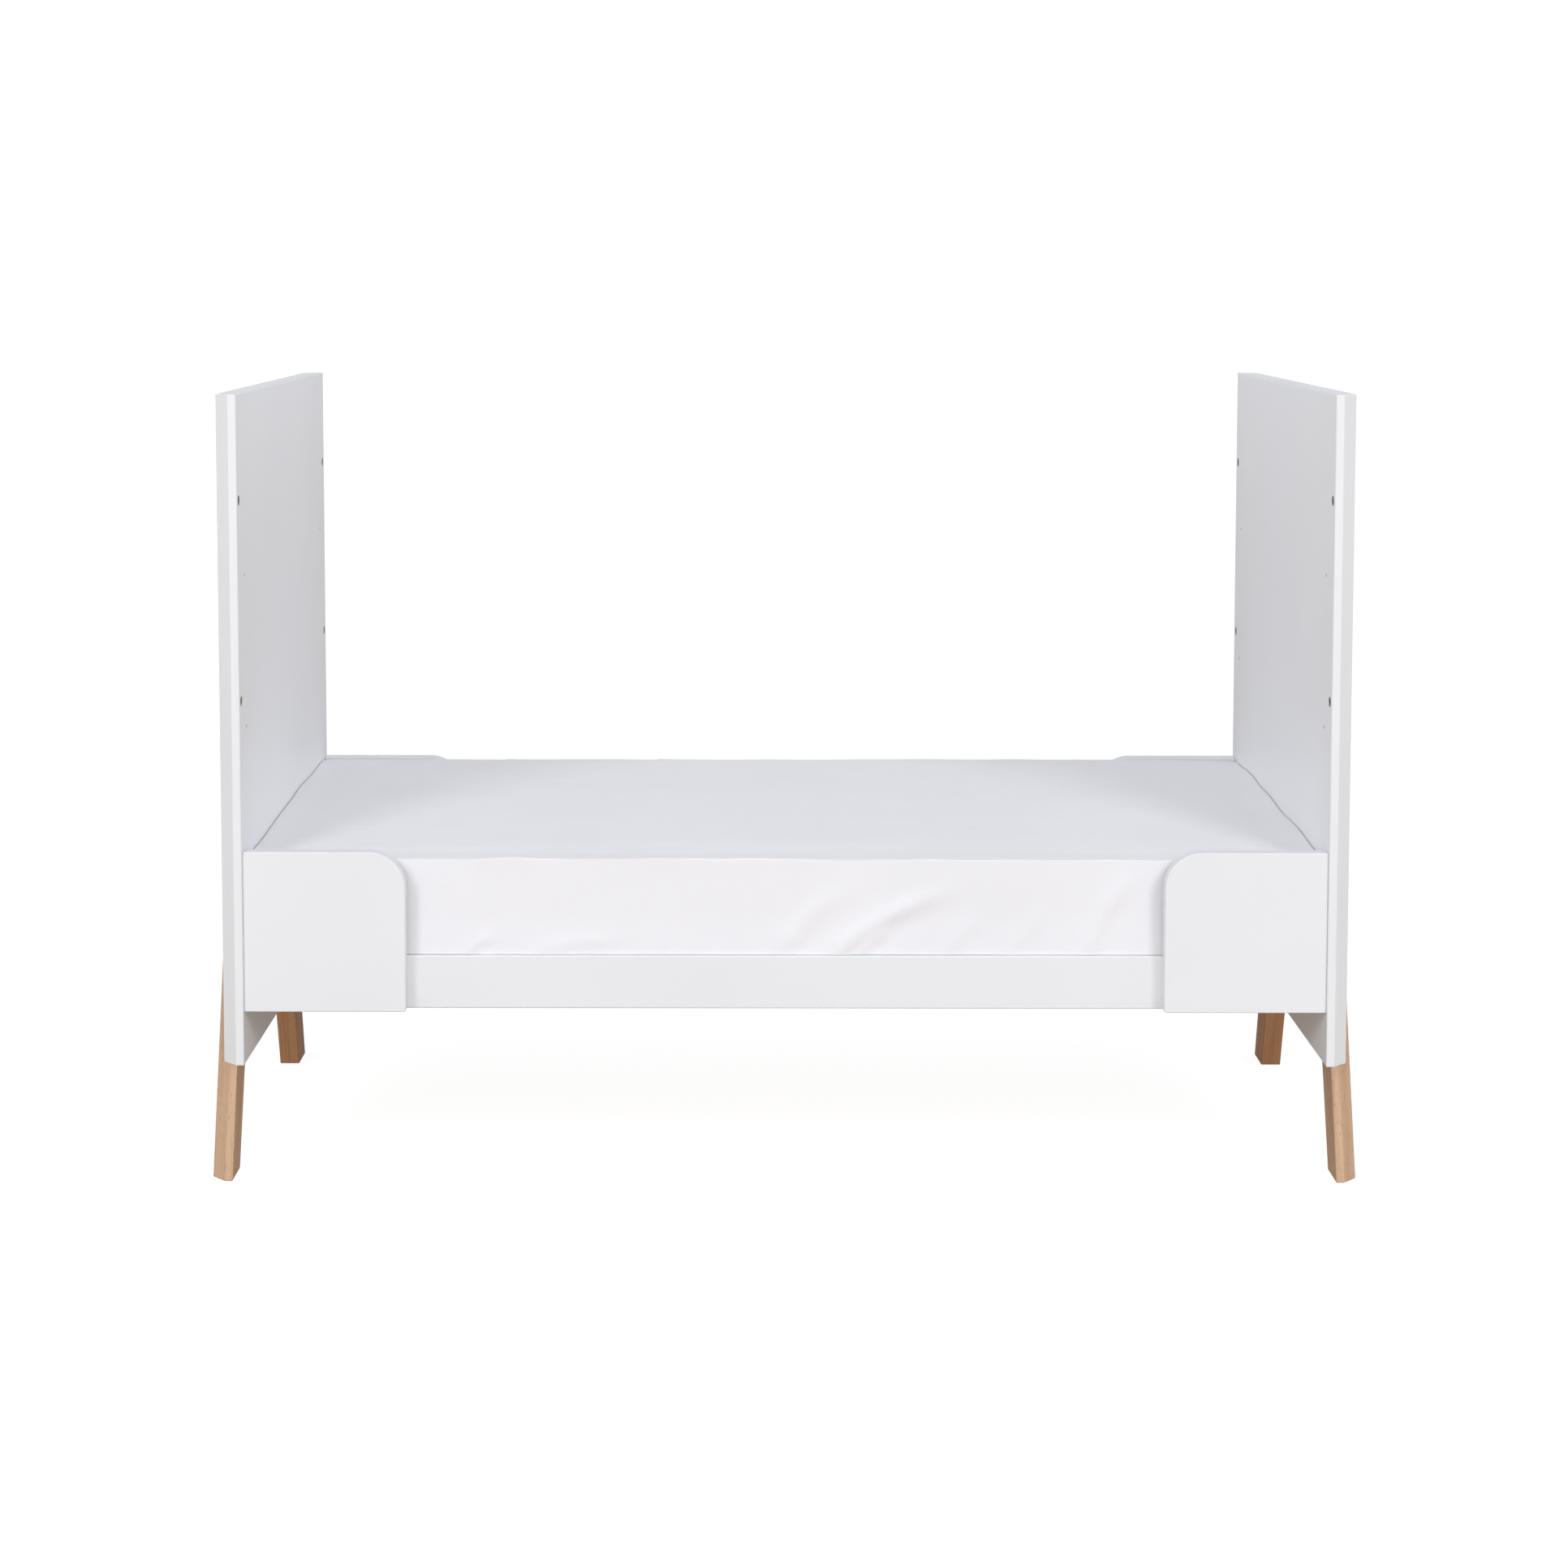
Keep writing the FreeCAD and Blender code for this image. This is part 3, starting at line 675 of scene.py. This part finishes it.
def crowned(points, low, high):
    """Domes the top of a pad, lower along its front and back edges, and fills out its sides."""
    middle = (np.array(high) + np.array(low)) / 2
    half = (np.array(high) - np.array(low)) / 2
    unit = (points - middle) / half
    rise = (unit[:, 2] + 1) / 2
    dome = (1 - unit[:, 0] ** 6) * (1 - np.clip(unit[:, 1] ** 2, 0, 1)) ** 2
    front = np.clip((1 - unit[:, 1]) / 2, 0, 1) ** 1.3
    back = np.clip(unit[:, 1], 0, 1) ** 3
    out = points.copy()
    out[:, 2] += smooth_step(0.3, 1.0, rise) * (CROWN * dome - FRONT_DROP * front - BACK_DROP * back)
    for axis, swell in ((0, SIDE_SWELL * END_SWELL), (1, SIDE_SWELL)):
        edge = smooth_step(0.93, 0.99, np.abs(unit[:, axis]))
        out[:, axis] += np.sign(unit[:, axis]) * swell * bulge(rise) * edge
    return out


def inflate(piece):
    """Cloth simulation: the closed skin swells under pressure, never inward and only so far."""
    scene = bpy.context.scene
    remesh = piece.modifiers.new("remesh", "REMESH")
    remesh.mode = "VOXEL"
    remesh.voxel_size = PAD_VOXEL
    apply_modifiers(piece)
    rest = points_of(piece)
    outward = normals_of(piece)
    cloth = piece.modifiers.new("cloth", "CLOTH")
    for key, value in PAD_CLOTH.items():
        setattr(cloth.settings, key, value)
    cloth.settings.effector_weights.gravity = 0
    cloth.point_cache.frame_start = 1
    cloth.point_cache.frame_end = SIMULATED_FRAMES
    for moment in range(1, SIMULATED_FRAMES + 1):
        scene.frame_set(moment)
    apply_modifiers(piece)
    scene.frame_set(1)
    away = points_of(piece) - rest
    away -= outward * np.minimum(0, np.sum(away * outward, axis=1, keepdims=True))
    length = np.linalg.norm(away, axis=1, keepdims=True)
    move_points(piece, rest + away * np.minimum(1, PAD_TRAVEL / np.maximum(length, 1e-9)))


def quilting(points, underside):
    """Height of the stitched grooves in the underside: two sets of diagonal lines."""
    depth = np.zeros(len(points))
    under = 1 - smooth_step(underside + 0.002, underside + 0.010, points[:, 2])
    for sense in (-1, 1):
        across = (points[:, 0] + sense * points[:, 1]) / (QUILT_PITCH * math.sqrt(2))
        off = np.abs(across - np.round(across)) * QUILT_PITCH
        depth = np.maximum(depth, np.exp(-(off / QUILT_WIDTH) ** 2))
    return QUILT_DEPTH * depth * under


def make_pad(material):
    """Mattress: a firm crowned pad in quilted ticking, swollen by simulation and flat where it lies."""
    low = PAD_LOW + Vector((PAD_SLACK, PAD_SLACK, PAD_LIFT))
    high = PAD_HIGH - Vector((PAD_SLACK, PAD_SLACK, PAD_SLACK))
    points, faces = shell_lattice(low, high, PAD_STEP)
    points = crowned(rounded_box(points, low, high, PAD_SOFTNESS), low, high)
    pad = new_object("mattress_pad", mesh_from("mattress_pad", points, faces))
    inflate(pad)
    refine(pad)
    points = points_of(pad)
    points[:, 2] += quilting(points, low.z)
    swell = SIDE_SWELL * bulge((points[:, 2] - low.z) / (high.z - low.z)) - PAD_RECESS
    points[:, 0] = np.clip(points[:, 0], PAD_LOW.x - END_SWELL * swell, PAD_HIGH.x + END_SWELL * swell)
    points[:, 1] = np.clip(points[:, 1], PAD_LOW.y - swell, PAD_HIGH.y + swell)
    points[:, 2] = np.maximum(points[:, 2], low.z)
    move_points(pad, points)
    finish_soft(pad, material)
    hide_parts("mattress_core", "mattress_cover")
    return pad


def bezier(controls, count=40):
    """Points along a Bezier curve."""
    points = np.array(controls, dtype=float)
    order = len(points) - 1
    t = np.linspace(0, 1, count)[:, None]
    curve = np.zeros((count, points.shape[1]))
    for i, point in enumerate(points):
        curve += math.comb(order, i) * t ** i * (1 - t) ** (order - i) * point
    return curve


def fold_height(flat, controls, height, width):
    """Height of one fold: a rounded ridge along a curve, with a shallow valley on one side."""
    curve = bezier(controls)
    gap = flat[:, None, :] - curve[None, :, :]
    nearest = np.argmin(np.linalg.norm(gap, axis=2), axis=1)
    tangent = np.gradient(curve, axis=0)
    tangent /= np.linalg.norm(tangent, axis=1, keepdims=True)
    along = tangent[nearest]
    offset = gap[np.arange(len(flat)), nearest]
    side = along[:, 0] * offset[:, 1] - along[:, 1] * offset[:, 0]
    beyond = np.abs(np.sum(along * offset, axis=1))
    span = nearest / (len(curve) - 1)
    fade = smooth_step(-0.15, 0.12, span) * (1 - smooth_step(0.55, 1.0, span))
    fade *= np.exp(-(beyond / width) ** 2)
    ridge = np.exp(-(side / width) ** 2)
    valley = 0.25 * np.exp(-((side + 1.9 * width) / (1.1 * width)) ** 2)
    return height * (ridge - valley) * fade


def seeded_folds(choose, reach, count, tallest):
    """Slanting folds spaced along a side, leaning away from its middle, in the form of FRONT_FOLDS."""
    folds = []
    for number in range(count):
        foot = reach * ((2 * number + 1 + choose.uniform(-0.6, 0.6)) / count - 1)
        lean = choose.uniform(0.02, 0.09) * (-1 if number < count / 2 else 1)
        top = choose.uniform(0.04, 0.09)
        controls = ((foot, 0), (foot + lean * 0.3, top * 0.5), (foot + lean, top))
        height = choose.uniform(0.4, 1.0) * tallest
        width = choose.uniform(0.005, 0.009)
        folds.append((controls, height, width))
    return folds


def side_folds(points, normals):
    """Moves the sheet's sides out along their folds: placed ones in front, and seeded ones elsewhere."""
    moved = points.copy()
    middle = (SHEET_LOW + SHEET_HIGH) / 2
    choose = np.random.default_rng(SEED)
    sides = [(1, -1, FRONT_FOLDS)]
    for axis, sign, *spread in SEEDED_FOLDS:
        sides.append((axis, sign, seeded_folds(choose, *spread)))
    for axis, sign, folds in sides:
        other = 1 - axis
        facing = normals[:, axis] * sign > 0.35
        flat = points[facing][:, (other, 2)] - (middle[other], SHEET_LOW.z)
        rise = np.zeros(len(flat))
        for controls, height, width in folds:
            rise += fold_height(flat, controls, height, width)
        moved[facing, axis] += sign * rise
    return moved


def creased(points, normals):
    """Slack in the cloth: ripples across the top, an uneven front edge, small pulled marks, uneven sides."""
    moved = points.copy()
    x, y, z = points.T
    facing = smooth_step(0.2, 0.9, normals[:, 2])
    ripple = soft_noise(points, (3.0, 16.0, 4.0), SEED)
    fine = soft_noise(points, (18.0, 60.0, 20.0), SEED + 1)
    moved[:, 2] += facing * (RIPPLE_HEIGHT * ripple + FINE_RIPPLE_HEIGHT * fine)

    lip = smooth_step(0.262, 0.303, -y) * (1 + 0.6 * soft_noise(points, (9.0, 0, 0), SEED + 8))
    moved[:, 2] += smooth_step(0.05, 0.5, normals[:, 2]) * lip * LIP_HEIGHT
    rim = np.exp(-((z - EDGE_HEIGHT) / EDGE_REACH) ** 2) * smooth_step(0.28, 0.30, -y)
    wave = soft_noise(points, (11.0, 0, 0), SEED + 2)
    wave += 0.5 * soft_noise(points, (34.0, 0, 0), SEED + 3)
    loose = 1.0 - 0.55 * smooth_step(-0.3, 0.3, x)
    moved[:, 2] += rim * wave * WAVE_HEIGHT * loose
    moved[:, 1] -= rim * wave * WAVE_DEPTH * loose

    upper = smooth_step(SHEET_LOW.z + 0.03, SHEET_HIGH.z - 0.01, z)
    end = smooth_step(0.50, 0.60, np.abs(x))
    moved[:, 2] += end * upper * soft_noise(points, (1.0, 7.5, 0), SEED + 7) * END_RIPPLE
    outer = smooth_step(0.596, 0.600, np.abs(x))
    moved[:, 0] += np.sign(x) * outer * upper * END_REACH

    for mark in PULLED_MARKS:
        away = np.linalg.norm((points[:, :2] - mark) * (1.0, 0.7), axis=1)
        moved[:, 2] += facing * MARK_HEIGHT * np.exp(-(away / MARK_RADIUS) ** 2)

    sides = 1 - smooth_step(0.3, 0.8, np.abs(normals[:, 2]))
    slack = soft_noise(points, (14.0, 14.0, 7.0), SEED + 4)
    slack += 0.5 * soft_noise(points, (30.0, 30.0, 12.0), SEED + 5)
    share = np.where(np.abs(normals[:, 0]) > 0.5, 0.4, 1.0)
    moved[:, :2] += normals[:, :2] * (sides * slack * SLACK_DEPTH * share)[:, None]
    return moved


def gathered(points):
    """Ruffles in the tuck: near its elastic the cloth lifts and shifts in small waves."""
    moved = points.copy()
    under = points[:, 2] < SHEET_LOW.z + 0.006
    reach_x = np.abs(points[:, 0]) - (SHEET_HIGH.x - SHEET_TUCK)
    reach_y = np.abs(points[:, 1]) - (SHEET_HIGH.y - SHEET_TUCK)
    long_side = reach_y > reach_x
    near = under * (1 - smooth_step(0.0, 0.05, np.maximum(reach_x, reach_y)))
    turn = 2 * math.pi / GATHER_PITCH
    length = np.where(long_side, points[:, 0], points[:, 1])
    wobble = soft_noise(points, (25.0, 25.0, 0), SEED + 6)
    moved[:, 2] += near * GATHER_HEIGHT * (np.sin(length * turn + 2.2 * wobble) + 1)
    shift = near * GATHER_SHIFT * np.sin(length * turn * 0.5 + 3 * wobble)
    moved[:, 0] += shift * ~long_side * np.sign(points[:, 0])
    moved[:, 1] += shift * long_side * np.sign(points[:, 1])
    return moved


def fit_to(sheet, cut, pad):
    """Draws the sheet's top and sides onto the pad, and leaves its edges and tuck as they were cut."""
    wrap = sheet.modifiers.new("fit", "SHRINKWRAP")
    wrap.target = pad
    wrap.wrap_method = "NEAREST_SURFACEPOINT"
    wrap.wrap_mode = "ABOVE_SURFACE"
    wrap.offset = SHEET_CLEARANCE
    apply_modifiers(sheet)
    fitted = points_of(sheet)
    planes = np.minimum(np.abs(cut - SHEET_LOW), np.abs(cut - SHEET_HIGH))
    from_edge = np.sort(planes, axis=1)[:, 1]
    close = smooth_step(0.008, 0.045, from_edge) * smooth_step(SHEET_LOW.z, SHEET_LOW.z + 0.02, cut[:, 2])
    move_points(sheet, cut + (fitted - cut) * close[:, None])


def make_sheet(pad, material):
    """Fitted sheet: one cloth over the mattress's top and sides, tucked under it all round."""
    opening = (SHEET_LOW.x + SHEET_TUCK, SHEET_LOW.y + SHEET_TUCK)
    points, faces = shell_lattice(SHEET_LOW, SHEET_HIGH, SHEET_STEP, opening)
    points = crowned(rounded_box(points, SHEET_LOW, SHEET_HIGH), SHEET_LOW, SHEET_HIGH)
    sheet = new_object("fitted_sheet_cloth", mesh_from("fitted_sheet_cloth", points, faces))
    fit_to(sheet, points, pad)
    refine(sheet)
    normals = normals_of(sheet)
    points = gathered(creased(side_folds(points_of(sheet), normals), normals))
    points[:, 0] = np.clip(points[:, 0], -PANEL_FACE + PANEL_GAP, PANEL_FACE - PANEL_GAP)
    points[:, 1] = np.clip(points[:, 1], -GUARD_BACK + GUARD_GAP, GUARD_BACK - GUARD_GAP)
    points[:, 2] = np.maximum(points[:, 2], SHEET_LOW.z)
    move_points(sheet, points)
    solid = sheet.modifiers.new("cloth", "SOLIDIFY")
    solid.thickness = SHEET_THICKNESS
    solid.offset = -1.0
    apply_modifiers(sheet)
    finish_soft(sheet, material)
    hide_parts("fitted_sheet")
    return sheet


def even_loop(route, spacing):
    """Points evenly spaced round a closed route."""
    closed = np.array([tuple(p) for p in route + route[:1]])
    steps = np.linalg.norm(np.diff(closed, axis=0), axis=1)
    travelled = np.concatenate(([0], np.cumsum(steps)))
    wanted = np.linspace(0, travelled[-1], round(travelled[-1] / spacing), endpoint=False)
    x = np.interp(wanted, travelled, closed[:, 0])
    y = np.interp(wanted, travelled, closed[:, 1])
    return [Vector(place) for place in zip(x, y)]


def hem_route():
    """Corners of the sheet's mouth, each rounded."""
    half_x = SHEET_HIGH.x - SHEET_TUCK
    half_y = SHEET_HIGH.y - SHEET_TUCK
    route = []
    for sx, sy in ((1, -1), (1, 1), (-1, 1), (-1, -1)):
        centre = Vector((sx * (half_x - HEM_CORNER), sy * (half_y - HEM_CORNER)))
        start = math.atan2(sy, sx) - math.pi / 4
        for step in range(9):
            angle = start + math.pi / 2 * step / 8
            route.append(centre + Vector((math.cos(angle), math.sin(angle))) * HEM_CORNER)
    return route


def make_hem(material):
    """Elastic round the mouth of the sheet: a narrow casing, flattened and ruffled along its length."""
    path = even_loop(hem_route(), HEM_STEP)
    level = SHEET_LOW.z + HEM_LIFT + HEM_HEIGHT * 0.56
    points = []
    faces = []
    for i, here in enumerate(path):
        after = (i + 1) % len(path)
        ahead = (path[after] - path[i - 1]).normalized()
        out = Vector((ahead.y, -ahead.x))
        ruffle = math.sin(i * HEM_STEP * 2 * math.pi / GATHER_PITCH) + 0.4 * math.sin(i * 0.53)
        for k in range(HEM_SIDES):
            angle = 2 * math.pi * k / HEM_SIDES
            wide = (HEM_WIDTH / 2) * (1 + 0.12 * ruffle) * math.cos(angle)
            tall = HEM_HEIGHT / 2 * math.sin(angle) * (1 + 0.10 * ruffle)
            spot = here + out * wide
            points.append((spot.x, spot.y, level + tall))
            beside = (k + 1) % HEM_SIDES
            ring = i * HEM_SIDES
            next_ring = after * HEM_SIDES
            faces.append((ring + k, ring + beside, next_ring + beside, next_ring + k))
    hem = new_object("sheet_hem", mesh_from("sheet_hem", points, faces))
    finish_soft(hem, material)
    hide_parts("sheet_elastic")
    return hem


# The scene ---------------------------------------------------------------------------------------
bpy.context.scene.view_settings.view_transform = "Standard"
make_camera()
make_surroundings()
for side in (-1, 1):
    make_softbox(side)
make_floor()
paint_frame()

cotton = woven("cotton_percale", (0.90, 0.895, 0.925), (0.872, 0.868, 0.898), 0.0006, 0.00004)
ticking = woven("mattress_ticking", (0.84, 0.83, 0.80), (0.78, 0.77, 0.73), 0.0016, 0.00012)
elastic = woven("elastic_casing", (0.86, 0.855, 0.875), (0.80, 0.795, 0.815), 0.0009, 0.00010)
pad = make_pad(ticking)
sheet = make_sheet(pad, cotton)
hem = make_hem(elastic)
